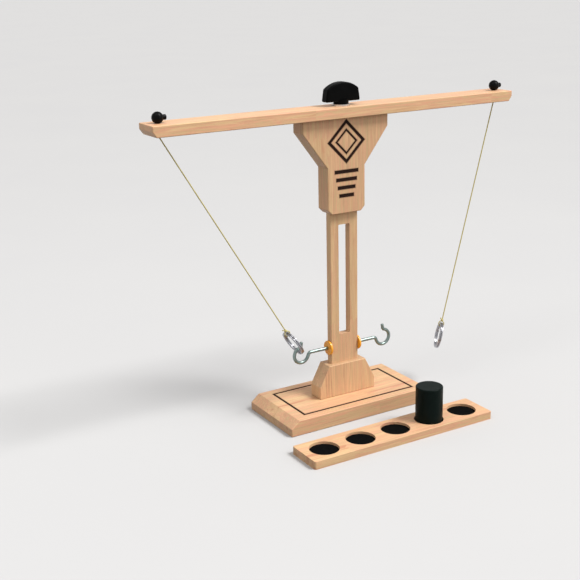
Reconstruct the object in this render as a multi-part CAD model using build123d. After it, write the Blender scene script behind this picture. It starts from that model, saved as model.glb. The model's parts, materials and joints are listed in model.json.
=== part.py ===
from build123d import *
from math import acos, atan2, cos, degrees, hypot, pi, radians, sin
import os

# Hook and ring game: a wooden stand with a clamped crossbar, two cords with
# rings, two screw hooks, and a separate score rack with a marker.
# Millimetres. X runs along the crossbar, Y away from the front player, Z up.
# The origin is the centre of the base's underside.

# ---- base and socket block
BASE_LENGTH = 171.0
BASE_DEPTH = 82.0
BASE_HEIGHT = 15.4
BASE_END_RUN = 8.8          # slope at each end, along X
BASE_END_DROP = 7.4         # slope at each end, down from the top
BORDER_END_INSET = 10.8     # engraved border, in from the top face's ends
BORDER_SIDE_INSET = 9.4     # engraved border, in from the long sides
BORDER_WIDTH = 2.2
BORDER_CUT = 0.5
BOARD = 18.0                # thickness of the socket block and of the head
SOCKET_FOOT = 65.6
SOCKET_TOP = 43.0
SOCKET_HEIGHT = 33.7
SOCKET_SHOULDER = 12.4      # height of the upright part of its sides
EDGE_ROUND = 0.8            # eased edges of the wooden pieces

# ---- upright
POST_WIDTH = 31.8
POST_THICK = 7.6
POST_SHOW = 155.0           # height that shows between socket and head
TENON_LOW = 26.0
TENON_HIGH = 30.0
TENON_GAP = 0.1             # glue gap on the sides of each tenon
SLOT_WIDTH = 13.1
SLOT_BELOW = 29.8           # from the socket's top to the slot
SLOT_ABOVE = 12.2           # from the slot to the head
SLOT_CORNER = 1.0

# ---- head
HEAD_WIDTH = 96.0
HEAD_CHEEK = 12.0           # upright part of the wide top
HEAD_FLARE = 35.2           # height of the sloping sides
NECK_WIDTH = 42.4
NECK_HEIGHT = 45.0
NECK_CORNER = 4.5

# ---- engraved ornament on the head's front
ENGRAVE_CUT = 0.4
DIAMONDS = ((15.0, 2.8), (8.8, 1.8))    # half side and line width of each
DIAMOND_DROP = 22.8         # below the head's top
STRIPE_LENGTH = 27.0
STRIPE_LINE = 3.4
STRIPE_PITCH = 7.8
STRIPE_STEP = 3.4           # each stripe is this much shorter than the one above
STRIPE_COUNT = 4
STRIPE_DROP = 51.5

# ---- crossbar
BAR_LENGTH = 400.0
BAR_DEPTH = 30.0
BAR_HEIGHT = 10.4
BAR_END_RUN = 3.6
BAR_END_RISE = 5.0
CORD_FROM_END = 11.5        # cord hole to the bar's end
CORD_HOLE = 3.0

# ---- clamp knob
STUD_DIAMETER = 6.0
STUD_HOLE = 6.8
STUD_IN_HEAD = 16.0
INSERT_DIAMETER = 9.0
INSERT_LENGTH = 13.0
RUNNING_FIT = 0.05          # radial, between the stud and its insert
STUD_RELIEF = 4.0           # empty hole under the stud
KNOB_WASHER_DIAMETER = 18.0
KNOB_WASHER_THICK = 1.6
KNOB_NECK_DIAMETER = 14.6
KNOB_NECK_HEIGHT = 2.4
WING_WIDTH = 38.4
WING_SHOULDER_WIDTH = 34.8
WING_SHOULDER_HEIGHT = 11.8
WING_HEIGHT = 18.2
WING_THICK = 9.4
WING_ROUND = 1.5
STUD_IN_KNOB = 11.0

# ---- cord toggles
TOGGLE_RADIUS = 5.3
TOGGLE_FLAT = 0.4           # ground off its underside
TOGGLE_CORD_BORE = 1.8
BUTTON_DIAMETER = 4.8
BUTTON_REACH = 7.8          # outer end, from the ball's centre
BUTTON_TRAVEL = 1.6
BUTTON_BORE_DEPTH = 4.0     # past the ball's centre
BUTTON_TAIL = 1.7           # past the ball's centre, released
BUTTON_ROUND = 0.5
SPRING_OUTER = 4.2
SPRING_INNER = 2.8
SPRING_PRESSED = 0.55       # length with the button pressed

# ---- cords
CORD_DIAMETER = 1.2
SWING_ANGLE = 15.0          # right cord, from plumb towards the upright
RING_TWIST = 31.0           # right ring, about its cord
CORD_EXIT_GAP = 0.7         # cord's top end, below the bar
CORD_TOP_DROP = 0.3         # cord's other end, below the toggle's top
KNOT_DIAMETER = 2.8
KNOT_LENGTH = 3.2
KNOT_ROUND = 0.6
LOOP_GAP = 0.15             # between the cord's loop and the ring

# ---- rings
RING_DIAMETER = 28.0
RING_BAND = 2.4             # radial
RING_THICK = 3.2            # along its axis
RING_ROUND = 0.5

# ---- hooks
WIRE = 3.4
HOOK_HEIGHT = 50.0          # shank above the base's top
HOOK_REACH = 33.2           # throat's centre, out from the post's side
THROAT_DROP = 1.0           # throat's centre, below the shank
THROAT_RADIUS = 8.0
THROAT_END_ANGLE = 75.0     # where the round throat stops
SHANK_LENGTH = 24.0
SHANK_IN_POST = 12.0
SHANK_BEND = 3.0
TIP_BEND = 2.6
TIP_TURN = 68.0
TIP_LENGTH = 3.8
WIRE_END_ROUND = 0.7
PILOT_GAP = 0.05
RING_SEAT = 4.3             # hooked ring's band, from the throat's centre
HOOK_WASHER_DIAMETER = 14.9
HOOK_WASHER_THICK = 2.2
HOOK_WASHER_ROUND = 0.6

# ---- screws under the base
SCREW_SPREAD = 48.0
SCREW_DIAMETER = 4.0
SCREW_HEAD = 8.0
SCREW_LENGTH = 33.0
SCREW_SINK = 0.6
SCREW_CONE = 2.4
SCREW_POINT = 0.4           # radius left at the tip
SCREW_DRIVE_WIDTH = 1.2     # arms of the cross recess
SCREW_DRIVE_SPAN = 4.8
SCREW_DRIVE_DEPTH = 1.4
SCREW_GAP = 0.1

# ---- score rack and marker
RACK_LENGTH = 206.0
RACK_DEPTH = 40.0
RACK_HEIGHT = 8.0
RACK_FROM_BASE = 30.2       # gap between the base and the rack
RACK_CORNER = 2.0
POCKETS = 5
POCKET_PITCH = 40.3
POCKET_DIAMETER = 28.8
POCKET_DEPTH = 4.2
PAD_THICK = 1.7
PAD_GAP = 0.1
MARKER_DIAMETER = 26.6
MARKER_HEIGHT = 37.0
MARKER_ROUND = 1.0
MARKER_POCKET = 4           # counted from the left

# ---- heights and places that follow
SOCKET_TOP_Z = BASE_HEIGHT + SOCKET_HEIGHT
HEAD_LOW_Z = SOCKET_TOP_Z + POST_SHOW
HEAD_HEIGHT = NECK_HEIGHT + HEAD_FLARE + HEAD_CHEEK
BAR_Z = HEAD_LOW_Z + HEAD_HEIGHT
BAR_TOP_Z = BAR_Z + BAR_HEIGHT
HOOK_Z = BASE_HEIGHT + HOOK_HEIGHT
THROAT_Z = HOOK_Z - THROAT_DROP
CORD_X = BAR_LENGTH / 2 - CORD_FROM_END
TOGGLE_Z = BAR_TOP_Z + TOGGLE_RADIUS - TOGGLE_FLAT
KNOB_SEAT_Z = BAR_TOP_Z + KNOB_WASHER_THICK
WING_Z = KNOB_SEAT_Z + KNOB_NECK_HEIGHT
RACK_Y = -(BASE_DEPTH / 2 + RACK_FROM_BASE + RACK_DEPTH / 2)
POCKET_FLOOR_Z = RACK_HEIGHT - POCKET_DEPTH
PAD_TOP_Z = POCKET_FLOOR_Z + PAD_THICK
RING_BAND_RADIUS = (RING_DIAMETER - RING_BAND) / 2
LOOP_RADIUS = hypot(RING_BAND, RING_THICK) / 2 + LOOP_GAP + CORD_DIAMETER / 2

# ---- the taut cord: from the bar's hole to the band seated in the throat
THROAT_X = POST_WIDTH / 2 + HOOK_REACH
EXIT_Z = BAR_Z - CORD_EXIT_GAP
FULL_REACH = hypot(CORD_X - THROAT_X, EXIT_Z - THROAT_Z) - RING_SEAT
HOOKED_ANGLE = degrees(atan2(CORD_X - THROAT_X, EXIT_Z - THROAT_Z))
BAND_REACH = FULL_REACH - 2 * RING_BAND_RADIUS
KNOT_REACH = BAND_REACH - LOOP_RADIUS - KNOT_LENGTH + CORD_DIAMETER / 2


def block(length, depth, low, high, x=0.0, y=0.0):
    """A plain box standing from low to high."""
    return Pos(x, y, (low + high) / 2) * Box(length, depth, high - low)


def rod(radius, low, high, x=0.0, y=0.0):
    """An upright cylinder from low to high."""
    return Pos(x, y, (low + high) / 2) * Cylinder(radius, high - low)


def board(points, thick):
    """An outline in XZ, as thick as stated, centred on Y = 0."""
    face = make_face(Polyline(*[(x, 0, z) for x, z in points], close=True))
    return extrude(face, amount=thick / 2, dir=(0, 1, 0), both=True)


def eased(solid, radius=EDGE_ROUND):
    return fillet(solid.edges(), radius)


def mirrored(points):
    """A right-hand outline from bottom to top, closed over the Z axis."""
    return points + [(-x, z) for x, z in reversed(points)]


def cord_frame(side, angle, twist):
    """Frame at the cord's exit: Z down the cord, X across the ring's hole."""
    lean = radians(angle)
    along = Vector(-side * sin(lean), 0, -cos(lean))
    across = Vector(0, 1, 0).rotate(Axis((0, 0, 0), tuple(along)), twist)
    return Plane((side * CORD_X, 0, EXIT_Z), x_dir=across, z_dir=along)


def base_block():
    half, low = BASE_LENGTH / 2, BASE_HEIGHT - BASE_END_DROP
    body = board(mirrored([(half, 0), (half, low), (half - BASE_END_RUN, BASE_HEIGHT)]), BASE_DEPTH)
    body = eased(body)
    outer = (BASE_LENGTH - 2 * (BASE_END_RUN + BORDER_END_INSET), BASE_DEPTH - 2 * BORDER_SIDE_INSET)
    border = Rectangle(*outer) - Rectangle(outer[0] - 2 * BORDER_WIDTH, outer[1] - 2 * BORDER_WIDTH)
    body -= extrude(Pos(0, 0, BASE_HEIGHT - BORDER_CUT) * border, amount=2 * BORDER_CUT)
    for x in (-SCREW_SPREAD / 2, SCREW_SPREAD / 2):
        body -= rod(SCREW_DIAMETER / 2 + SCREW_GAP, 0, BASE_HEIGHT, x)
        body -= rod(SCREW_HEAD / 2 + SCREW_GAP, 0, SCREW_SINK, x)
        body -= Pos(x, 0, SCREW_SINK + SCREW_CONE / 2) * Cone(
            SCREW_HEAD / 2 + SCREW_GAP, SCREW_DIAMETER / 2 + SCREW_GAP, SCREW_CONE)
    return body


def base_screws():
    """Two countersunk wood screws, up through the base into the socket block."""
    tip = SCREW_SINK + SCREW_LENGTH
    screw = Pos(0, 0, SCREW_SINK + SCREW_CONE / 2) * Cone(SCREW_HEAD / 2, SCREW_DIAMETER / 2, SCREW_CONE)
    screw += rod(SCREW_DIAMETER / 2, SCREW_SINK + SCREW_CONE, tip - SCREW_DIAMETER)
    screw += Pos(0, 0, tip - SCREW_DIAMETER / 2) * Cone(SCREW_DIAMETER / 2, SCREW_POINT, SCREW_DIAMETER)
    for size in ((SCREW_DRIVE_SPAN, SCREW_DRIVE_WIDTH), (SCREW_DRIVE_WIDTH, SCREW_DRIVE_SPAN)):
        screw -= block(*size, SCREW_SINK, SCREW_SINK + SCREW_DRIVE_DEPTH)
    return Compound([Pos(x, 0, 0) * screw for x in (-SCREW_SPREAD / 2, SCREW_SPREAD / 2)])


def socket_block():
    foot, top = SOCKET_FOOT / 2, SOCKET_TOP / 2
    outline = [(foot, BASE_HEIGHT), (foot, BASE_HEIGHT + SOCKET_SHOULDER), (top, SOCKET_TOP_Z)]
    body = eased(board(mirrored(outline), BOARD))
    body -= block(POST_WIDTH + 2 * TENON_GAP, POST_THICK + 2 * TENON_GAP,
                  SOCKET_TOP_Z - TENON_LOW, SOCKET_TOP_Z)
    for x in (-SCREW_SPREAD / 2, SCREW_SPREAD / 2):
        body -= rod(SCREW_DIAMETER / 2 + SCREW_GAP, BASE_HEIGHT, SCREW_SINK + SCREW_LENGTH + SCREW_GAP, x)
    return body


def upright():
    low, high = SOCKET_TOP_Z - TENON_LOW, HEAD_LOW_Z + TENON_HIGH
    body = block(POST_WIDTH, POST_THICK, low, high)
    body = fillet(body.edges().filter_by(Axis.Z), EDGE_ROUND)
    slot_low, slot_high = SOCKET_TOP_Z + SLOT_BELOW, HEAD_LOW_Z - SLOT_ABOVE
    slot = block(SLOT_WIDTH, 2 * POST_THICK, slot_low, slot_high)
    body -= fillet(slot.edges().filter_by(Axis.Y), SLOT_CORNER)
    reach = POST_WIDTH / 2
    for side in (-1, 1):
        pilot = Cylinder(WIRE / 2 + PILOT_GAP, SHANK_IN_POST + PILOT_GAP, rotation=(0, 90, 0))
        body -= Pos(side * (reach - (SHANK_IN_POST + PILOT_GAP) / 2), 0, HOOK_Z) * pilot
    return body


def ornament():
    """Two nested diamonds over a row of short stripes, cut into the front."""
    shapes = []
    for half, line in DIAMONDS:
        inner = 2 * (half - line)
        frame = Rectangle(2 * half, 2 * half) - Rectangle(inner, inner)
        shapes.append(Pos(0, -DIAMOND_DROP) * Rot(0, 0, 45) * frame)
    for index in range(STRIPE_COUNT):
        length = STRIPE_LENGTH - STRIPE_STEP * index
        shapes.append(Pos(0, -STRIPE_DROP - index * STRIPE_PITCH) * Rectangle(length, STRIPE_LINE))
    face = Plane((0, -BOARD / 2, BAR_Z), x_dir=(1, 0, 0), z_dir=(0, -1, 0))
    return [extrude(face * shape, amount=ENGRAVE_CUT, both=True) for shape in shapes]


def head_block():
    neck = NECK_WIDTH / 2
    flare_z = HEAD_LOW_Z + NECK_HEIGHT
    outline = [(neck - NECK_CORNER, HEAD_LOW_Z), (neck, HEAD_LOW_Z + NECK_CORNER), (neck, flare_z),
               (HEAD_WIDTH / 2, flare_z + HEAD_FLARE), (HEAD_WIDTH / 2, BAR_Z)]
    body = eased(board(mirrored(outline), BOARD))
    body -= block(POST_WIDTH + 2 * TENON_GAP, POST_THICK + 2 * TENON_GAP,
                  HEAD_LOW_Z, HEAD_LOW_Z + TENON_HIGH)
    body -= rod(INSERT_DIAMETER / 2, BAR_Z - INSERT_LENGTH, BAR_Z)
    body -= rod(STUD_HOLE / 2, BAR_Z - STUD_IN_HEAD - STUD_RELIEF, BAR_Z)
    for cut in ornament():
        body -= cut
    return body


def threaded_insert():
    body = rod(INSERT_DIAMETER / 2, BAR_Z - INSERT_LENGTH, BAR_Z)
    return body - rod(STUD_DIAMETER / 2 + RUNNING_FIT, BAR_Z - INSERT_LENGTH, BAR_Z)


def crossbar():
    half = BAR_LENGTH / 2
    outline = [(half - BAR_END_RUN, BAR_Z), (half, BAR_Z + BAR_END_RISE), (half, BAR_TOP_Z)]
    body = eased(board(mirrored(outline), BAR_DEPTH))
    body -= rod(STUD_HOLE / 2, BAR_Z, BAR_TOP_Z)
    for x in (-CORD_X, CORD_X):
        body -= rod(CORD_HOLE / 2, BAR_Z, BAR_TOP_Z, x)
    return body


def knob_washer():
    body = rod(KNOB_WASHER_DIAMETER / 2, BAR_TOP_Z, KNOB_SEAT_Z)
    return body - rod(STUD_HOLE / 2, BAR_TOP_Z, KNOB_SEAT_Z)


def knob_wing():
    """A flat half-moon wing on a round neck."""
    foot, shoulder = WING_WIDTH / 2, WING_SHOULDER_WIDTH / 2
    corner_z = WING_Z + WING_SHOULDER_HEIGHT
    left, right = (-shoulder, 0, corner_z), (shoulder, 0, corner_z)
    edge = Polyline(right, (foot, 0, WING_Z), (-foot, 0, WING_Z), left)
    edge += ThreePointArc(left, (0, 0, WING_Z + WING_HEIGHT), right)
    wing = extrude(make_face(edge), amount=WING_THICK / 2, dir=(0, 1, 0), both=True)
    body = fillet(wing.edges(), WING_ROUND) + rod(KNOB_NECK_DIAMETER / 2, KNOB_SEAT_Z, WING_Z + WING_ROUND)
    return body - rod(STUD_DIAMETER / 2, KNOB_SEAT_Z, WING_Z + STUD_IN_KNOB)


def knob_stud():
    return rod(STUD_DIAMETER / 2, BAR_Z - STUD_IN_HEAD, WING_Z + STUD_IN_KNOB)


def toggle_body(x):
    body = Pos(x, 0, TOGGLE_Z) * Sphere(TOGGLE_RADIUS)
    body -= block(2 * TOGGLE_RADIUS, 2 * TOGGLE_RADIUS, TOGGLE_Z - 2 * TOGGLE_RADIUS, BAR_TOP_Z, x)
    body -= rod(TOGGLE_CORD_BORE / 2, BAR_TOP_Z, TOGGLE_Z + 2 * TOGGLE_RADIUS, x)
    length = BUTTON_BORE_DEPTH + 2 * TOGGLE_RADIUS
    bore = Cylinder(BUTTON_DIAMETER / 2 + RUNNING_FIT, length, rotation=(0, 90, 0))
    return body - Pos(x - BUTTON_BORE_DEPTH + length / 2, 0, TOGGLE_Z) * bore


def toggle_button(x):
    """A plunger with a cross slot that the cord runs through."""
    length = BUTTON_REACH + BUTTON_TAIL
    body = Cylinder(BUTTON_DIAMETER / 2, length, rotation=(0, 90, 0))
    body = fillet(body.edges().group_by(Axis.X)[-1], BUTTON_ROUND)
    body = Pos(x + (BUTTON_REACH - BUTTON_TAIL) / 2, 0, TOGGLE_Z) * body
    slot = SlotOverall(TOGGLE_CORD_BORE + BUTTON_TRAVEL, TOGGLE_CORD_BORE)
    cut = extrude(Pos(x + BUTTON_TRAVEL / 2, 0, TOGGLE_Z) * slot, amount=BUTTON_DIAMETER, both=True)
    return body - cut


def toggle_spring(x):
    ring = Cylinder(SPRING_OUTER / 2, SPRING_PRESSED) - Cylinder(SPRING_INNER / 2, SPRING_PRESSED)
    return Pos(x - BUTTON_BORE_DEPTH + SPRING_PRESSED / 2, 0, TOGGLE_Z) * Rot(0, 90, 0) * ring


def cord_top(x):
    """The cord's end, from inside the toggle down through the bar."""
    return rod(CORD_DIAMETER / 2, BAR_Z, TOGGLE_Z + TOGGLE_RADIUS - CORD_TOP_DROP, x)


def hanging_cord(frame):
    """One straight run, pulled tight by its ring, ending in the knot."""
    print("cord: straight run of", round(KNOT_REACH, 2), "mm, no bends")
    return frame * Pos(0, 0, KNOT_REACH / 2) * Cylinder(CORD_DIAMETER / 2, KNOT_REACH)


def ring_knot(frame):
    """A barrel knot over a loop that goes round the ring's band."""
    barrel = Pos(0, 0, KNOT_REACH + KNOT_LENGTH / 2) * Cylinder(KNOT_DIAMETER / 2, KNOT_LENGTH)
    barrel = fillet(barrel.edges(), KNOT_ROUND)
    loop = Pos(0, 0, BAND_REACH) * Rot(0, 90, 0) * Torus(LOOP_RADIUS, CORD_DIAMETER / 2)
    return frame * (barrel + loop)


def split_ring(frame):
    band = fillet(Rectangle(RING_BAND, RING_THICK).vertices(), RING_ROUND)
    ring = revolve(Plane.XZ * Pos(RING_BAND_RADIUS, 0) * band, Axis.Z)
    return frame * Pos(0, 0, BAND_REACH + RING_BAND_RADIUS) * Rot(90, 0, 0) * ring


def screw_hook(side):
    """Round wire: shank, bend down into the throat, and a raised tip."""
    span = HOOK_REACH - SHANK_LENGTH
    touch = pi + acos(THROAT_RADIUS / hypot(span, THROAT_DROP)) - atan2(THROAT_DROP, span)
    low = (HOOK_REACH + THROAT_RADIUS * cos(touch), THROAT_RADIUS * sin(touch) - THROAT_DROP)
    shank = FilletPolyline((-SHANK_IN_POST, 0), (SHANK_LENGTH, 0), low, radius=SHANK_BEND)
    throat = JernArc(shank @ 1, shank % 1, THROAT_RADIUS, 360 + THROAT_END_ANGLE - degrees(touch))
    turn = JernArc(throat @ 1, throat % 1, TIP_BEND, -TIP_TURN)
    tip = Line(turn @ 1, (turn @ 1) + (turn % 1) * TIP_LENGTH)
    path = shank + throat + turn + tip
    wire = sweep(Plane((-SHANK_IN_POST, 0, 0), z_dir=(1, 0, 0)) * Circle(WIRE / 2), path=path)
    wire = fillet(wire.edges().filter_by(GeomType.CIRCLE).group_by(Axis.Y)[-1], WIRE_END_ROUND)
    seat = Plane((side * POST_WIDTH / 2, 0, HOOK_Z), x_dir=(side, 0, 0), z_dir=(0, -side, 0))
    return seat * wire


def hook_washer(side):
    body = Cylinder(HOOK_WASHER_DIAMETER / 2, HOOK_WASHER_THICK)
    body = fillet(body.edges(), HOOK_WASHER_ROUND) - Cylinder(WIRE / 2 + PILOT_GAP, HOOK_WASHER_THICK)
    return Pos(side * (POST_WIDTH + HOOK_WASHER_THICK) / 2, 0, HOOK_Z) * Rot(0, 90, 0) * body


def pocket_x(number):
    """Centre of a pocket, counted from 1 at the left."""
    return (number - (POCKETS + 1) / 2) * POCKET_PITCH


def score_rack():
    body = block(RACK_LENGTH, RACK_DEPTH, 0, RACK_HEIGHT)
    body = fillet(body.edges().filter_by(Axis.Z), RACK_CORNER)
    body = fillet(body.edges().group_by(Axis.Z)[-1], EDGE_ROUND / 2)
    for number in range(1, POCKETS + 1):
        body -= rod(POCKET_DIAMETER / 2, POCKET_FLOOR_Z, RACK_HEIGHT, pocket_x(number))
    return Pos(0, RACK_Y, 0) * body


def pocket_pad(number):
    radius = POCKET_DIAMETER / 2 - PAD_GAP
    return rod(radius, POCKET_FLOOR_Z, PAD_TOP_Z, pocket_x(number), RACK_Y)


def score_marker():
    body = rod(MARKER_DIAMETER / 2, PAD_TOP_Z, PAD_TOP_Z + MARKER_HEIGHT)
    return Pos(pocket_x(MARKER_POCKET), RACK_Y, 0) * fillet(body.edges(), MARKER_ROUND)


def all_parts():
    parts = {
        "base_block": base_block(), "base_screws": base_screws(), "socket_block": socket_block(),
        "upright": upright(), "head_block": head_block(), "threaded_insert": threaded_insert(),
        "crossbar": crossbar(), "knob_washer": knob_washer(), "knob_wing": knob_wing(),
        "knob_stud": knob_stud(), "score_rack": score_rack(), "score_marker": score_marker(),
    }
    for name, side in (("left", -1), ("right", 1)):
        x = side * CORD_X
        parts[name + "_toggle_body"] = toggle_body(x)
        parts[name + "_toggle_button"] = toggle_button(x)
        parts[name + "_toggle_spring"] = toggle_spring(x)
        parts[name + "_cord_top"] = cord_top(x)
        parts[name + "_hook"] = screw_hook(side)
        parts[name + "_hook_washer"] = hook_washer(side)
    frames = {"left": cord_frame(-1, HOOKED_ANGLE, 0), "right": cord_frame(1, SWING_ANGLE, RING_TWIST)}
    for name, frame in frames.items():
        parts[name + "_cord"] = hanging_cord(frame)
        parts[name + "_cord_knot"] = ring_knot(frame)
        parts[name + "_ring"] = split_ring(frame)
    for number in range(1, POCKETS + 1):
        parts["pocket_pad_" + str(number)] = pocket_pad(number)
    return parts


os.makedirs("parts", exist_ok=True)
for node, solid in all_parts().items():
    solid.label = node
    export_step(solid, "parts/" + node + ".step")
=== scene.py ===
import json
from math import ceil, cos, pi, radians, sin, sqrt, tau

import bpy
from mathutils import Matrix, Vector


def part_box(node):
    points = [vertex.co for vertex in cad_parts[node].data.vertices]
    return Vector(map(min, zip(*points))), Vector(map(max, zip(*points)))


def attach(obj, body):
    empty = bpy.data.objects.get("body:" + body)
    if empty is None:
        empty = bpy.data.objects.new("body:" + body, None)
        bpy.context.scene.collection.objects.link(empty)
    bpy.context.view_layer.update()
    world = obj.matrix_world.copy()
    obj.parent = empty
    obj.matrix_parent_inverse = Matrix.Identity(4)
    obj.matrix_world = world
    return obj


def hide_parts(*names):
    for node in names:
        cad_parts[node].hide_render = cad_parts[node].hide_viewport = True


# Looks for the hook and ring game. Metres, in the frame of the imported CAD.

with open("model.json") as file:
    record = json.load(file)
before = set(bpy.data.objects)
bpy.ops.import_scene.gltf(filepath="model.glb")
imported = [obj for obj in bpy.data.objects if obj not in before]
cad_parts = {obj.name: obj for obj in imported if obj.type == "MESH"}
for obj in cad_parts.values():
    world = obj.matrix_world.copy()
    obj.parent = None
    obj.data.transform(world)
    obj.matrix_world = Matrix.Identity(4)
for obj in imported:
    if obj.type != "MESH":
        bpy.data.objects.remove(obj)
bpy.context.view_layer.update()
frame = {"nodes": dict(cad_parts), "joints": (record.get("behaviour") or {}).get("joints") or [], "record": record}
MM = 0.001


# ------------------------------------------------------------------ places from the frame

def low(node):
    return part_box(node)[0]


def high(node):
    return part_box(node)[1]


def middle(node):
    a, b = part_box(node)
    return (Vector(a) + Vector(b)) / 2


def joint_vector(name, key):
    """A joint's place (pos_m) or its direction (axis)."""
    return Vector(next(joint for joint in frame["joints"] if joint["name"] == name)[key])


# ------------------------------------------------------------------ camera

CAMERA_PLACE = Vector((-0.5502, -0.8436, 0.4339))
CAMERA_AZIMUTH = -30.14
CAMERA_ELEVATION = 17.09
CAMERA_ROLL = -1.29
CAMERA_LENS = 65.4
SENSOR = 36.0


def add_camera():
    azimuth, elevation = radians(CAMERA_AZIMUTH), radians(CAMERA_ELEVATION)
    back = Vector((sin(azimuth) * cos(elevation), -cos(azimuth) * cos(elevation), sin(elevation)))
    data = bpy.data.cameras.new("camera")
    data.lens = CAMERA_LENS
    data.sensor_width = SENSOR
    data.clip_start = 0.01
    data.clip_end = 100.0
    camera = bpy.data.objects.new("camera", data)
    bpy.context.scene.collection.objects.link(camera)
    camera.rotation_mode = "QUATERNION"
    turn = (-back).to_track_quat("-Z", "Y").to_matrix() @ Matrix.Rotation(radians(CAMERA_ROLL), 3, "Z")
    camera.rotation_quaternion = turn.to_quaternion()
    camera.location = CAMERA_PLACE
    bpy.context.scene.camera = camera


# ------------------------------------------------------------------ node trees

def tone(red, green, blue):
    """A colour given as it looks on a screen, turned into the linear values that shaders use."""
    linear = [c / 12.92 if c <= 0.04045 else ((c + 0.055) / 1.055) ** 2.4 for c in (red, green, blue)]
    return (*linear, 1.0)


def scaled(colour, factor, lift=0.0):
    """The same colour made lighter or darker."""
    return (*(min(1.0, c * factor + lift) for c in colour[:3]), 1.0)


def set_stops(node, stops):
    """Fills a colour ramp: each stop is (position, colour)."""
    points = node.color_ramp.elements
    while len(points) < len(stops):
        points.new(0.5)
    for point, (position, colour) in zip(points, stops):
        point.position = position
        point.color = colour


class Material:
    """One procedural material, with a short call for each kind of node."""

    def __init__(self, name, **sockets):
        self.made = bpy.data.materials.new(name)
        self.made.use_nodes = True
        self.tree = self.made.node_tree
        self.tree.nodes.clear()
        output = self.tree.nodes.new("ShaderNodeOutputMaterial")
        self.shader = self.tree.nodes.new("ShaderNodeBsdfPrincipled")
        self.tree.links.new(self.shader.outputs["BSDF"], output.inputs["Surface"])
        self.set(**sockets)

    def set(self, **sockets):
        """Sets or links the shader's own sockets, with _ for a space in their names."""
        for name, value in sockets.items():
            self.put(self.shader.inputs[name.replace("_", " ")], value)

    def put(self, socket, value):
        if isinstance(value, bpy.types.NodeSocket):
            self.tree.links.new(value, socket)
        elif value is not None:
            socket.default_value = value

    def place(self):
        """The point's place in the object's frame, which is the CAD's."""
        return self.tree.nodes.new("ShaderNodeTexCoord").outputs["Object"]

    def facing(self):
        return self.tree.nodes.new("ShaderNodeNewGeometry").outputs["Normal"]

    def math(self, operation, first, second=None, third=None):
        node = self.tree.nodes.new("ShaderNodeMath")
        node.operation = operation
        for socket, value in zip(node.inputs, (first, second, third)):
            self.put(socket, value)
        return node.outputs[0]

    def vector(self, operation, first, second):
        node = self.tree.nodes.new("ShaderNodeVectorMath")
        node.operation = operation
        self.put(node.inputs[0], first)
        self.put(node.inputs[1], second)
        return node.outputs["Value" if operation == "DOT_PRODUCT" else "Vector"]

    def split(self, vector):
        node = self.tree.nodes.new("ShaderNodeSeparateXYZ")
        self.put(node.inputs[0], vector)
        return node.outputs[0], node.outputs[1], node.outputs[2]

    def join(self, x, y, z):
        node = self.tree.nodes.new("ShaderNodeCombineXYZ")
        for socket, value in zip(node.inputs, (x, y, z)):
            self.put(socket, value)
        return node.outputs[0]

    def noise(self, vector, scale, detail=3.0, roughness=0.55, distortion=0.0):
        node = self.tree.nodes.new("ShaderNodeTexNoise")
        self.put(node.inputs["Vector"], vector)
        node.inputs["Scale"].default_value = scale
        node.inputs["Detail"].default_value = detail
        node.inputs["Roughness"].default_value = roughness
        node.inputs["Distortion"].default_value = distortion
        return node.outputs["Fac"]

    def cells(self, vector, scale):
        """Distance to the nearest of many scattered points."""
        node = self.tree.nodes.new("ShaderNodeTexVoronoi")
        self.put(node.inputs["Vector"], vector)
        node.inputs["Scale"].default_value = scale
        return node.outputs["Distance"]

    def chance(self, vector):
        """A random number from 0 to 1 that stays the same wherever vector does."""
        node = self.tree.nodes.new("ShaderNodeTexWhiteNoise")
        node.noise_dimensions = "3D"
        self.put(node.inputs["Vector"], vector)
        return node.outputs["Value"]

    def remap(self, value, from_low, from_high, to_low=0.0, to_high=1.0, smooth=False):
        node = self.tree.nodes.new("ShaderNodeMapRange")
        if smooth:
            node.interpolation_type = "SMOOTHSTEP"
        for socket, given in zip(node.inputs, (value, from_low, from_high, to_low, to_high)):
            self.put(socket, given)
        return node.outputs["Result"]

    def ramp(self, factor, stops):
        node = self.tree.nodes.new("ShaderNodeValToRGB")
        self.put(node.inputs[0], factor)
        set_stops(node, stops)
        return node.outputs["Color"]

    def mix(self, factor, first, second, blend="MIX"):
        node = self.tree.nodes.new("ShaderNodeMix")
        node.data_type = "RGBA"
        node.blend_type = blend
        self.put(node.inputs[0], factor)
        self.put(node.inputs[6], first)
        self.put(node.inputs[7], second)
        return node.outputs[2]

    def grey(self, value):
        """A number as a colour, for multiplying."""
        node = self.tree.nodes.new("ShaderNodeCombineColor")
        for socket in node.inputs:
            self.put(socket, value)
        return node.outputs[0]

    def bump(self, height, strength, distance):
        node = self.tree.nodes.new("ShaderNodeBump")
        node.inputs["Strength"].default_value = strength
        node.inputs["Distance"].default_value = distance
        self.put(node.inputs["Height"], height)
        return node.outputs["Normal"]


# ------------------------------------------------------------------ wood

PINK_WOOD = tone(0.875, 0.65, 0.52)
TAN_WOOD = tone(0.86, 0.725, 0.545)
DEEP_WOOD = tone(0.76, 0.54, 0.415)
CHAR = tone(0.07, 0.02, 0.0)
CHAR_LIGHT = tone(0.18, 0.075, 0.03)
STAVE_JOG = 4 * MM          # depth of a finger joint's teeth
STAVE_TEETH = 7 * MM        # width of a pair of teeth
ABOVE_ZERO = 1.0            # added to a place, so that no strip or block straddles zero
BLOCKS_ABOVE_ZERO = 5.0
FINER_ACROSS = 21.0         # how much closer the figure lies across the fibres than along them
BLOCK_JUMP = 7.3            # how far apart in the figure two blocks can start
CLOUD_SHARE, BAND_SHARE, BLOCK_SHARE = 0.406, 0.464, 0.1276     # what makes up the hue
HUES = ((0.30, DEEP_WOOD), (0.39, PINK_WOOD), (0.445, TAN_WOOD), (0.50, PINK_WOOD), (0.57, TAN_WOOD),
        (0.66, DEEP_WOOD))
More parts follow.
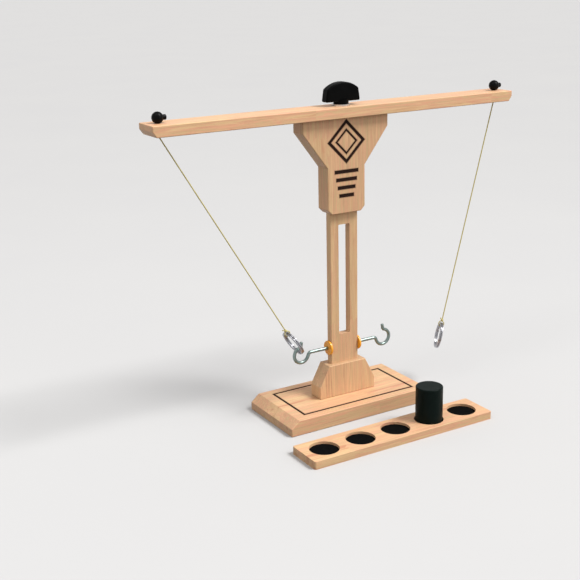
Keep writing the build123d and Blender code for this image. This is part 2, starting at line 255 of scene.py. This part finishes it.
PORE_LOW, PORE_HIGH = 0.62, 0.74
WOOD_COAT = 0.15


def wood(name, grain, stave, block, seed, lightness=1.0, tan=0.0, burn=None):
    """Glued-up hardwood. grain is the axis the fibres run along, stave the width of the strips
    across it, block the length between finger joints, tan how far the colour leans to the yellow,
    and burn a function that draws the engraving."""
    m = Material(name)
    place = m.place()
    x, y, z = m.split(place)
    along, across, deep = {"X": (x, y, z), "Z": (z, x, y)}[grain]

    # which strip and which block of it this point is in
    strip = m.math("FLOOR", m.math("DIVIDE", m.math("ADD", across, 0.5 * stave + ABOVE_ZERO), stave))
    shift = m.math("MULTIPLY", m.chance(m.join(strip, seed, 0.0)), block)
    teeth = m.math("PINGPONG", m.math("ADD", across, ABOVE_ZERO), STAVE_TEETH / 2)
    jogged = m.math("MULTIPLY_ADD", teeth, 2 * STAVE_JOG / STAVE_TEETH, along)
    shifted = m.math("ADD", m.math("ADD", jogged, shift), BLOCKS_ABOVE_ZERO)
    piece = m.math("FLOOR", m.math("DIVIDE", shifted, block))
    luck = m.chance(m.join(piece, strip, seed))

    # fibres: everything is drawn long along the grain, and starts elsewhere in each block
    offset = m.math("MULTIPLY", luck, BLOCK_JUMP)
    fibre = m.join(
        m.math("ADD", along, offset),
        m.math("MULTIPLY_ADD", across, FINER_ACROSS, offset),
        m.math("MULTIPLY_ADD", deep, FINER_ACROSS, seed),
    )
    cloud = m.noise(fibre, 5.0, 3.0, 0.5, 0.4)
    bands = m.noise(fibre, 15.0, 4.0, 0.6, 1.2)
    strands = m.noise(m.vector("MULTIPLY", fibre, (1.0, 3.0, 3.0)), 26.0, 5.0, 0.65)
    pores = m.noise(m.vector("MULTIPLY", fibre, (4.5, 3.0, 3.0)), 60.0, 2.0, 0.5)

    hue = m.math("ADD", m.math("MULTIPLY", cloud, CLOUD_SHARE), m.math("MULTIPLY", bands, BAND_SHARE))
    hue = m.math("ADD", hue, m.math("MULTIPLY", luck, BLOCK_SHARE))
    base = m.mix(tan, m.ramp(hue, HUES), TAN_WOOD)
    growth = m.remap(bands, 0.30, 0.72, 0.83, 1.08)
    fine = m.remap(strands, 0.30, 0.75, 0.87, 1.07)
    speck = m.remap(pores, PORE_LOW, PORE_HIGH, 1.0, 0.80, smooth=True)
    patch = m.remap(luck, 0.0, 1.0, 0.94 * lightness, 1.05 * lightness)
    shade = m.math("MULTIPLY", m.math("MULTIPLY", growth, fine), m.math("MULTIPLY", speck, patch))

    # end grain soaks up more of the finish
    axis = {"X": (1.0, 0.0, 0.0), "Z": (0.0, 0.0, 1.0)}[grain]
    end = m.math("ABSOLUTE", m.vector("DOT_PRODUCT", m.facing(), axis))
    shade = m.math("MULTIPLY", shade, m.remap(end, 0.65, 0.98, 1.0, 0.88, smooth=True))
    colour = m.mix(1.0, base, m.grey(shade), "MULTIPLY")

    roughness = m.remap(strands, 0.3, 0.7, 0.40, 0.54)
    coat = WOOD_COAT
    pits = m.remap(pores, PORE_LOW, PORE_HIGH, 0.0, 0.6)
    relief = m.math("SUBTRACT", m.math("MULTIPLY", strands, 0.5), pits)
    normal = m.bump(relief, 0.35, 0.12 * MM)
    if burn is not None:
        mark, halo = burn(m, x, y, z)
        soot = m.noise(place, 900.0, 3.0)
        burnt = m.mix(m.remap(soot, 0.35, 0.75), CHAR, CHAR_LIGHT)
        colour = m.mix(m.math("MULTIPLY", halo, 0.5), colour, CHAR_LIGHT)
        colour = m.mix(mark, colour, burnt)
        roughness = m.remap(mark, 0.0, 1.0, 0.47, 0.85)
        coat = m.remap(mark, 0.0, 1.0, WOOD_COAT, 0.0)
    m.set(Base_Color=colour, Roughness=roughness, Normal=normal, Coat_Weight=coat, Coat_Roughness=0.35,
          Specular_IOR_Level=0.2)
    return m.made


MARK_BLUR = 0.12 * MM
LINE_HALO = 0.96 * MM       # how far the scorching spreads from a line
STRIPE_HALO = 1.0 * MM      # and from a stripe


def line_mask(m, distance, width):
    """1 within a line of this width about distance 0, and a wider, softer halo."""
    away = m.math("ABSOLUTE", distance)
    mark = m.remap(away, width / 2 - MARK_BLUR, width / 2 + MARK_BLUR, 1.0, 0.0, smooth=True)
    halo = m.remap(away, width / 2, width / 2 + LINE_HALO, 1.0, 0.0, smooth=True)
    return mark, halo


def rectangle_distance(m, u, v, half_u, half_v):
    """Signed distance from the outline of a rectangle: negative inside it."""
    over_u = m.math("SUBTRACT", m.math("ABSOLUTE", u), half_u)
    over_v = m.math("SUBTRACT", m.math("ABSOLUTE", v), half_v)
    return m.math("MAXIMUM", over_u, over_v)


def strongest(m, masks):
    """The darkest of several (mark, halo) pairs at each point."""
    mark, halo = masks[0]
    for other_mark, other_halo in masks[1:]:
        mark = m.math("MAXIMUM", mark, other_mark)
        halo = m.math("MAXIMUM", halo, other_halo)
    return mark, halo


BORDER_END = 19.6 * MM      # engraved border, in from the base's ends
BORDER_SIDE = 9.4 * MM      # and from its long sides
BORDER_WIDTH = 2.2 * MM
BORDER_REACH = 0.9 * MM     # how far down from the top the burning goes


def border_burn(m, x, y, z):
    """The line engraved round the top of the base."""
    half_u = high("base_block")[0] - BORDER_END - BORDER_WIDTH / 2
    half_v = high("base_block")[1] - BORDER_SIDE - BORDER_WIDTH / 2
    mark, halo = line_mask(m, rectangle_distance(m, x, y, half_u, half_v), BORDER_WIDTH)
    on_top = m.math("GREATER_THAN", z, high("base_block")[2] - BORDER_REACH)
    return m.math("MULTIPLY", mark, on_top), m.math("MULTIPLY", halo, on_top)


DIAMONDS = ((15.0 * MM, 2.8 * MM), (8.8 * MM, 1.8 * MM))    # half side and line width of each
DIAMOND_DROP = 22.8 * MM    # the middle of the diamonds, down from the head's top
STRIPE_LENGTH = 27.0 * MM
STRIPE_LINE = 3.4 * MM
STRIPE_PITCH = 7.8 * MM
STRIPE_STEP = 3.4 * MM      # each stripe is this much shorter than the one above
STRIPE_COUNT = 4
STRIPE_DROP = 51.5 * MM     # the first stripe, down from the head's top
ORNAMENT_REACH = 0.8 * MM   # how far in from the front the burning goes


def ornament_burn(m, x, y, z):
    """Two nested diamonds over a row of short stripes, on the head's front."""
    top = high("head_block")[2]
    height = m.math("SUBTRACT", z, top - DIAMOND_DROP)
    slant = m.math("DIVIDE", m.math("ADD", m.math("ABSOLUTE", x), m.math("ABSOLUTE", height)), sqrt(2))
    masks = []
    for half, line in DIAMONDS:
        masks.append(line_mask(m, m.math("SUBTRACT", slant, half - line / 2), line))
    for index in range(STRIPE_COUNT):
        half = (STRIPE_LENGTH - STRIPE_STEP * index) / 2
        level = m.math("SUBTRACT", z, top - STRIPE_DROP - index * STRIPE_PITCH)
        outline = rectangle_distance(m, x, level, half, STRIPE_LINE / 2)
        mark = m.remap(outline, -MARK_BLUR, MARK_BLUR, 1.0, 0.0, smooth=True)
        halo = m.remap(outline, 0.0, STRIPE_HALO, 1.0, 0.0, smooth=True)
        masks.append((mark, halo))
    mark, halo = strongest(m, masks)
    in_front = m.math("LESS_THAN", y, low("head_block")[1] + ORNAMENT_REACH)
    return m.math("MULTIPLY", mark, in_front), m.math("MULTIPLY", halo, in_front)


# ------------------------------------------------------------------ metals, plastics, rubber, cord

def scratched_metal(name, colour, roughness, spangle):
    """Plated steel: a mottled coat with fine scratches in two directions."""
    m = Material(name, Metallic=1.0)
    place = m.place()
    mottle = m.noise(place, 420.0, 3.0, 0.6)
    first = m.noise(m.vector("MULTIPLY", place, (900.0, 900.0, 60.0)), 1.0, 2.0)
    second = m.noise(m.vector("MULTIPLY", place, (70.0, 800.0, 800.0)), 1.0, 2.0)
    lines = m.math("MULTIPLY", first, second)
    m.set(
        Base_Color=m.mix(m.remap(mottle, 0.35, 0.7, 0.0, spangle), colour, scaled(colour, 0.72)),
        Roughness=m.remap(m.math("ADD", m.math("MULTIPLY", mottle, 0.6), lines), 0.3, 0.9,
                          roughness - 0.05, roughness + 0.12),
        Normal=m.bump(lines, 0.12, 0.02 * MM),
    )
    return m.made


def moulded_plastic(name, colour, roughness, grain, specular=0.5, coat=0.0):
    """Moulded plastic with a fine spark-eroded skin and a little handling wear."""
    m = Material(name, Coat_Weight=coat, Coat_Roughness=0.15, Specular_IOR_Level=specular)
    place = m.place()
    skin = m.noise(place, 2600.0, 2.0, 0.5)
    wear = m.noise(place, 90.0, 5.0, 0.65)
    m.set(
        Base_Color=m.mix(m.remap(wear, 0.45, 0.8, 0.0, 0.55), colour, scaled(colour, 1.6, 0.002)),
        Roughness=m.remap(wear, 0.3, 0.75, roughness - 0.06, roughness + 0.10),
        Normal=m.bump(skin, grain, 0.03 * MM),
    )
    return m.made


def foam_rubber(name, colour):
    """Closed-cell foam: small open pits all over."""
    m = Material(name, Roughness=0.92, Specular_IOR_Level=0.06)
    place = m.place()
    pits = m.cells(place, 1500.0)
    lint = m.noise(place, 300.0, 4.0, 0.7)
    m.set(
        Base_Color=m.mix(m.remap(lint, 0.5, 0.8, 0.0, 0.6), colour, scaled(colour, 2.4, 0.003)),
        Normal=m.bump(pits, 0.6, 0.15 * MM),
    )
    return m.made


def twisted_cord(name, colour, shade):
    """Cotton-like cord: fuzzy fibres, with painted shade between the strands."""
    m = Material(name, Roughness=0.85, Sheen_Weight=0.25, Sheen_Roughness=0.5, Specular_IOR_Level=0.2)
    place = m.place()
    fuzz = m.noise(place, 5200.0, 3.0, 0.7)
    soil = m.noise(place, 160.0, 4.0, 0.6)
    groove_shade = m.tree.nodes.new("ShaderNodeAttribute")
    groove_shade.attribute_name = "groove_shade"
    # shade is the cord's darker colour: soil mixes toward it at random, and the grooves take it as painted shade
    colour = m.mix(m.remap(soil, 0.4, 0.8, 0.0, 0.35), colour, shade)
    # painted shade: darker where the outline lies deep between the strands
    colour = m.mix(m.math("MULTIPLY", groove_shade.outputs["Fac"], 0.75), colour, shade)
    m.set(Base_Color=colour, Normal=m.bump(fuzz, 0.4, 0.06 * MM))
    return m.made


def make_materials():
    return {
        "base_wood": wood("base_wood", "X", 27 * MM, 310 * MM, 3.1, burn=border_burn),
        "socket_wood": wood("socket_wood", "Z", 33 * MM, 250 * MM, 8.7, 0.95, tan=0.35),
        "head_wood": wood("head_wood", "Z", 31 * MM, 270 * MM, 5.2, 0.95, tan=0.15, burn=ornament_burn),
        "post_wood": wood("post_wood", "Z", 90 * MM, 115 * MM, 11.9, 0.94, tan=0.25),
        "bar_wood": wood("bar_wood", "X", 60 * MM, 210 * MM, 1.4, 1.06),
        "rack_wood": wood("rack_wood", "X", 55 * MM, 170 * MM, 6.6, 1.02),
        "screw_steel": scratched_metal("screw_steel", tone(0.74, 0.74, 0.72), 0.32, 0.5),
        "washer_steel": scratched_metal("washer_steel", tone(0.80, 0.80, 0.80), 0.25, 0.4),
        "insert_brass": scratched_metal("insert_brass", tone(0.80, 0.67, 0.40), 0.30, 0.5),
        "hook_steel": scratched_metal("hook_steel", tone(0.56, 0.62, 0.605), 0.33, 0.8),
        "ring_steel": scratched_metal("ring_steel", tone(0.68, 0.68, 0.70), 0.22, 0.5),
        "knob_plastic": moulded_plastic("knob_plastic", tone(0.014, 0.014, 0.015), 0.40, 0.35, 0.05),
        "toggle_plastic": moulded_plastic("toggle_plastic", tone(0.014, 0.014, 0.015), 0.34, 0.2, 0.09),
        "marker_plastic": moulded_plastic("marker_plastic", tone(0.035, 0.075, 0.065), 0.36, 0.12, 0.06),
        "washer_orange": moulded_plastic("washer_orange", tone(0.92, 0.60, 0.10), 0.33, 0.15, coat=0.2),
        "pad_rubber": foam_rubber("pad_rubber", tone(0.015, 0.016, 0.017)),
        # the second colour is for soil and for the painted shade between the cord's strands
        "cord": twisted_cord("cord", tone(0.82, 0.77, 0.50), tone(0.56, 0.50, 0.28)),
    }


NODE_MATERIALS = {"base_block": "base_wood", "socket_block": "socket_wood", "head_block": "head_wood",
                  "upright": "post_wood", "crossbar": "bar_wood"}


def dress_nodes(materials):
    """Gives every CAD node the material of its slot, or its own where the wood differs."""
    for part in frame["record"]["subparts"]:
        node = part["node"]
        data = frame["nodes"][node].data
        data.materials.clear()
        data.materials.append(materials[NODE_MATERIALS.get(node, part["material_slot"])])


# ------------------------------------------------------------------ swept pieces

def travelled(points):
    """Distance along a line of points, at each of them."""
    gone = [0.0]
    for a, b in zip(points, points[1:]):
        gone.append(gone[-1] + (b - a).length)
    return gone


def evenly(points, step):
    """The same line, with points about step apart."""
    gone = travelled(points)
    count = max(2, ceil(gone[-1] / step))
    out, k = [], 0
    for i in range(count + 1):
        want = gone[-1] * i / count
        while k < len(points) - 2 and gone[k + 1] < want:
            k += 1
        share = (want - gone[k]) / max(gone[k + 1] - gone[k], 1e-12)
        out.append(points[k].lerp(points[k + 1], min(max(share, 0.0), 1.0)))
    return out


def sweep(name, points, across, section, groove_shade=None):
    """A closed solid along points. section(distance) gives the outline's offsets there, across and
    above the line, and groove_shade the same way how deep each outline point lies between strands, as a mask for
    painted shade."""
    side = Vector(across)
    vertices, faces, depths = [], [], []
    gone = travelled(points)
    for i, point in enumerate(points):
        ahead = (points[min(i + 1, len(points) - 1)] - points[max(i - 1, 0)]).normalized()
        side = (side - ahead * side.dot(ahead)).normalized()
        up = ahead.cross(side)
        outline = section(gone[i])
        vertices += [point + side * u + up * v for u, v in outline]
        depths += groove_shade(gone[i]) if groove_shade else [0.0] * len(outline)
        count = len(outline)
        if i:
            a, b = (i - 1) * count, i * count
            faces += [(a + k, a + (k + 1) % count, b + (k + 1) % count, b + k) for k in range(count)]
    faces.append(tuple(reversed(range(count))))
    faces.append(tuple(range(len(vertices) - count, len(vertices))))
    mesh = bpy.data.meshes.new(name)
    mesh.from_pydata(vertices, [], faces)
    mesh.polygons.foreach_set("use_smooth", [len(f) == 4 for f in faces])
    # how deep each point lies between strands, which the cord's material darkens as painted shade
    attribute = mesh.attributes.new("groove_shade", "FLOAT", "POINT")
    attribute.data.foreach_set("value", depths)
    mesh.update()
    piece = bpy.data.objects.new(name, mesh)
    bpy.context.scene.collection.objects.link(piece)
    return piece


def finish_piece(piece, material, body, replaced):
    piece.data.materials.append(material)
    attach(piece, body)
    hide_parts(replaced)


# ------------------------------------------------------------------ cords

CORD = 1.2 * MM
STRANDS = 3
STRAND_PITCH = 4.2 * MM     # length of one full twist
STRAND_DEPTH = 0.20         # how far the grooves go in, of the radius
GROOVE_POWER = 1.4          # higher for narrower grooves
LEAST_END = 0.02            # the least a round end closes to, of the radius
CORD_SIDES = 24
CORD_STEP = 0.35 * MM
SPLINE_STEPS = 24
TAIL_DROP = 0.1 * MM        # the cord's end, down from its CAD solid's top
RING_BAND = 2.4 * MM        # radial
RING_THICK = 3.2 * MM       # along the ring's axis
RING_OUTER = 14.0 * MM
LOOP_GAP = 0.15 * MM        # between the ring's band and the loop round it
KNOT_LENGTH = 3.2 * MM
BAND_RADIUS = RING_OUTER - RING_BAND / 2
LOOP_RADIUS = (RING_BAND ** 2 + RING_THICK ** 2) ** 0.5 / 2 + LOOP_GAP + CORD / 2


def rope_section(diameter, rounded_start=False, rounded_end=False, total=0.0):
    """The outline of a three-strand cord, turning as it goes, with round ends where asked."""
    radius = diameter / 2

    def groove(k, distance):
        turn = STRANDS * (tau * k / CORD_SIDES - tau * distance / STRAND_PITCH) / 2
        return (1 - abs(cos(turn))) ** GROOVE_POWER

    def size(distance):
        share = 1.0
        for on, left in ((rounded_start, distance), (rounded_end, total - distance)):
            if on and left < radius:
                share = min(share, max(1 - (1 - left / radius) ** 2, LEAST_END ** 2) ** 0.5)
        return radius * share

    def section(distance):
        here = size(distance)
        out = []
        for k in range(CORD_SIDES):
            reach = here * (1 - STRAND_DEPTH * groove(k, distance))
            out.append((reach * cos(tau * k / CORD_SIDES), reach * sin(tau * k / CORD_SIDES)))
        return out

    # how deep each outline point lies between strands, as a mask for painted shade
    def groove_shade(distance):
        return [groove(k, distance) for k in range(CORD_SIDES)]

    return section, groove_shade


def route(points):
    """The line of a NURBS spline through a cord's route."""
    curve = bpy.data.curves.new("route", "CURVE")
    curve.dimensions = "3D"
    spline = curve.splines.new("NURBS")
    spline.points.add(len(points) - 1)
    for point, place in zip(spline.points, points):
        point.co = (*place, 1.0)
    spline.order_u = 3
    spline.use_endpoint_u = True
    spline.resolution_u = SPLINE_STEPS
    holder = bpy.data.objects.new("route", curve)
    mesh = bpy.data.meshes.new_from_object(holder)
    line = [v.co.copy() for v in mesh.vertices]
    bpy.data.objects.remove(holder)
    bpy.data.meshes.remove(mesh)
    return line


def cord_facts(side):
    """Where a cord leaves the bar, its direction, and how far its knot and its ring's band are."""
    leave = joint_vector(side + "_cord_swing", "pos_m")
    ring = middle(side + "_ring")
    along = (ring - leave).normalized()
    band = (ring - leave).length - BAND_RADIUS
    knot = band - LOOP_RADIUS - KNOT_LENGTH + CORD / 2
    return leave, along, knot, band


def hanging_cord(side, material):
    """The straight cord from under the bar to its knot."""
    leave, along, knot, band = cord_facts(side)
    points = [leave, leave + along * knot * 0.5, leave + along * knot]
    line = evenly(route(points), CORD_STEP)
    length = travelled(line)[-1]
    section, groove_shade = rope_section(CORD, True, False, length)
    piece = sweep(side + "_cord_rope", line, (0, 1, 0), section, groove_shade)
    finish_piece(piece, material, side + "_line", side + "_cord")


def cord_tail(side, material):
    """The cord's other end, from the toggle's top down through the bar to where it swings."""
    leave = joint_vector(side + "_cord_swing", "pos_m")
    top = Vector((leave[0], leave[1], high(side + "_cord_top")[2] - TAIL_DROP))
    line = evenly([top, leave - Vector((0, 0, CORD / 2))], CORD_STEP)
    section, groove_shade = rope_section(CORD, True, True, travelled(line)[-1])
    piece = sweep(side + "_cord_tail", line, (0, 1, 0), section, groove_shade)
    finish_piece(piece, material, "stand", side + "_cord_top")


KNOT_STEP = 0.2 * MM
LOOP_STEPS = 40
LOOP_SHARE = 0.94           # how much of a full turn the loop makes round the band
LOOP_SPREAD = 0.45 * MM     # how far the loop's two legs stand apart
LOOP_NECK = 1.2 * MM        # straight before the loop
WRAPS = 3
WRAP_STEPS = 28             # in each turn
WRAP_START = -0.6           # radians
WRAP_CORD = 1.05 * MM       # the cord is squeezed thinner where it is wound
WRAP_RADIUS = 0.88 * MM
WRAP_LOW = 0.5 * MM         # the lowest turn, above the loop
WRAP_TUCK = 0.6             # how far below the straight cord the top turn lies, in cords
TWIST_GAP = 0.03 * MM       # the knot turns under the end of the straight cord
END_STEPS = 5
END_OUT, END_UP = 0.175 * MM, 0.06 * MM     # the short end's first step; each is longer than the last


def ring_knot(side, body, across, material):
    """The cord goes down to the ring's band, round it, and winds back up round itself."""
    leave, along, knot, band = cord_facts(side)
    through = along.cross(across).normalized()
    centre = leave + along * band
    start = leave + along * (knot + TWIST_GAP)
    line = [start, leave + along * (band - LOOP_RADIUS - LOOP_NECK)]
    for k in range(LOOP_STEPS + 1):
        angle = tau * (k / LOOP_STEPS) * LOOP_SHARE
        spread = across * (LOOP_SPREAD * (k / LOOP_STEPS - 0.5))
        line.append(centre - along * LOOP_RADIUS * cos(angle) + through * LOOP_RADIUS * sin(angle) + spread)
    low_wrap, high_wrap = band - LOOP_RADIUS - WRAP_LOW, knot + TWIST_GAP + WRAP_CORD * WRAP_TUCK
    for k in range(WRAP_STEPS * WRAPS + 1):
        share = k / (WRAP_STEPS * WRAPS)
        angle = tau * WRAPS * share + WRAP_START
        reach = leave + along * (low_wrap + (high_wrap - low_wrap) * share)
        line.append(reach - through * WRAP_RADIUS * cos(angle) + across * WRAP_RADIUS * sin(angle))
    outward = (line[-1] - line[-2]).normalized()
    for k in range(1, END_STEPS + 1):
        line.append(line[-1] + (outward * END_OUT - along * END_UP) * k)
    line = evenly(line, KNOT_STEP)
    total = travelled(line)[-1]
    section, groove_shade = rope_section(WRAP_CORD, False, True, total)
    piece = sweep(side + "_cord_knot_wound", line, across, section, groove_shade)
    finish_piece(piece, material, body, side + "_cord_knot")


# ------------------------------------------------------------------ split rings

COIL_THICK = 1.52 * MM
COIL_ROUND = 0.45 * MM
CRANK = 0.42                # radians over which the wire crosses from one coil to the other
RING_STEPS = 420
CORNER_STEPS = 4


def rounded_box(width, height, radius):
    """The outline of a rectangle with round corners."""
    out = []
    for corner in range(4):
        start = tau * corner / 4
        x = (width / 2 - radius) * (1 if corner in (0, 3) else -1)
        y = (height / 2 - radius) * (1 if corner in (0, 1) else -1)
        for k in range(CORNER_STEPS + 1):
            angle = start + (pi / 2) * k / CORNER_STEPS
            out.append((x + radius * cos(angle), y + radius * sin(angle)))
    return out


def split_ring(side, body, across, crank_at, material):
    """Flat wire wound twice round, with a crank where it steps from one coil to the other."""
    leave, along, knot, band = cord_facts(side)
    centre = leave + along * (band + BAND_RADIUS)
    axis = across.cross(along).normalized()
    outline = rounded_box(RING_BAND, COIL_THICK, COIL_ROUND)
    lift = RING_THICK / 2 - COIL_THICK / 2
    total = 2 * tau - CRANK
    line = []
    for k in range(RING_STEPS + 1):
        angle = total * k / RING_STEPS
        share = min(max((angle - (tau - CRANK)) / CRANK, 0.0), 1.0)
        rise = lift * (2 * share * share * (3 - 2 * share) - 1)
        turned = angle + crank_at
        line.append(centre + (across * cos(turned) + along * sin(turned)) * BAND_RADIUS + axis * rise)
    outward = across * cos(crank_at) + along * sin(crank_at)
    piece = sweep(side + "_ring_coils", line, outward, lambda distance: outline)
    finish_piece(piece, material, body, side + "_ring")


def ring_across(side):
    """The direction across the ring, in its plane and square to its cord."""
    if side == "left":
        return Vector((0, 1, 0))
    return joint_vector(side + "_ring_tilt", "axis").normalized()


# ------------------------------------------------------------------ stage and light

FLOOR_SIZE = 60.0
FLOOR_PARTS = 60            # tiles along each side


def add_floor():
    mesh = bpy.data.meshes.new("floor")
    steps = [FLOOR_SIZE * (k / FLOOR_PARTS - 0.5) for k in range(FLOOR_PARTS + 1)]
    corners = [(x, y, 0.0) for y in steps for x in steps]
    row = FLOOR_PARTS + 1
    faces = [(j * row + i, j * row + i + 1, (j + 1) * row + i + 1, (j + 1) * row + i)
             for j in range(FLOOR_PARTS) for i in range(FLOOR_PARTS)]
    mesh.from_pydata(corners, [], faces)
    floor = bpy.data.objects.new("floor", mesh)
    bpy.context.scene.collection.objects.link(floor)
    m = Material("floor", Roughness=1.0, Specular_IOR_Level=0.0)
    wash = m.noise(m.place(), 3.0, 3.0)
    m.set(Base_Color=m.mix(wash, tone(0.755, 0.755, 0.76), tone(0.77, 0.77, 0.77)))
    mesh.materials.append(m.made)
    floor.visible_diffuse = False


def add_light(name, place, target, size, power):
    data = bpy.data.lights.new(name, "AREA")
    data.shape = "RECTANGLE"
    data.size, data.size_y = size
    data.energy = power
    lamp = bpy.data.objects.new(name, data)
    lamp.location = place
    lamp.rotation_mode = "QUATERNION"
    lamp.rotation_quaternion = (Vector(target) - Vector(place)).to_track_quat("-Z", "Y")
    bpy.context.scene.collection.objects.link(lamp)


def add_sun(name, toward, strength, spread, colour):
    """Light from one direction all over, as from a large softbox far away."""
    data = bpy.data.lights.new(name, "SUN")
    data.energy = strength
    data.angle = radians(spread)
    data.color = colour
    lamp = bpy.data.objects.new(name, data)
    lamp.rotation_mode = "QUATERNION"
    lamp.rotation_quaternion = Vector(toward).to_track_quat("-Z", "Y")
    bpy.context.scene.collection.objects.link(lamp)


CEILING = (0.60, 0.595, 0.59, 1.0)
HORIZON = (0.80, 0.795, 0.79, 1.0)
BELOW = (0.12, 0.105, 0.08, 1.0)
WORLD_STOPS = ((0.34, BELOW), (0.48, HORIZON), (0.53, HORIZON), (0.68, CEILING))    # 0 down, 1 up


def add_world():
    """A pale room with little light from below, so that undersides stay deep."""
    world = bpy.data.worlds.new("studio")
    world.use_nodes = True
    tree = world.node_tree
    direction = tree.nodes.new("ShaderNodeSeparateXYZ")
    tree.links.new(tree.nodes.new("ShaderNodeTexCoord").outputs["Generated"], direction.inputs[0])
    share = tree.nodes.new("ShaderNodeMapRange")
    share.inputs["From Min"].default_value = -1.0
    tree.links.new(direction.outputs["Z"], share.inputs["Value"])
    fade = tree.nodes.new("ShaderNodeValToRGB")
    tree.links.new(share.outputs["Result"], fade.inputs[0])
    set_stops(fade, WORLD_STOPS)
    tree.links.new(fade.outputs["Color"], tree.nodes["Background"].inputs["Color"])
    bpy.context.scene.world = world


LIT_PLACE = (0.0, 0.0, 0.16)    # the middle of the game


def add_lights():
    add_sun("key", (-0.52, 0.50, -1.0), 3.0, 20.0, (1.0, 0.985, 0.965))
    add_light("softbox", (0.9, -1.3, 1.0), LIT_PLACE, (0.9, 0.9), 4.5)
    add_light("strip", (-0.7, -0.2, 1.4), LIT_PLACE, (0.3, 1.2), 3.5)
    add_world()
    bpy.context.scene.view_settings.view_transform = "Standard"


# ------------------------------------------------------------------ the scene

add_camera()
add_lights()
add_floor()
looks = make_materials()
dress_nodes(looks)
RING_BODIES = {"left": ("left_line", "left_line"), "right": ("right_knot", "right_ring_body")}
CRANKS = {"left": 2.3, "right": 0.9}    # radians round each ring to where its wire starts
for ring_side, (knot_body, ring_body) in RING_BODIES.items():
    direction = ring_across(ring_side)
    hanging_cord(ring_side, looks["cord"])
    cord_tail(ring_side, looks["cord"])
    ring_knot(ring_side, knot_body, direction, looks["cord"])
    split_ring(ring_side, ring_body, direction, CRANKS[ring_side], looks["ring_steel"])
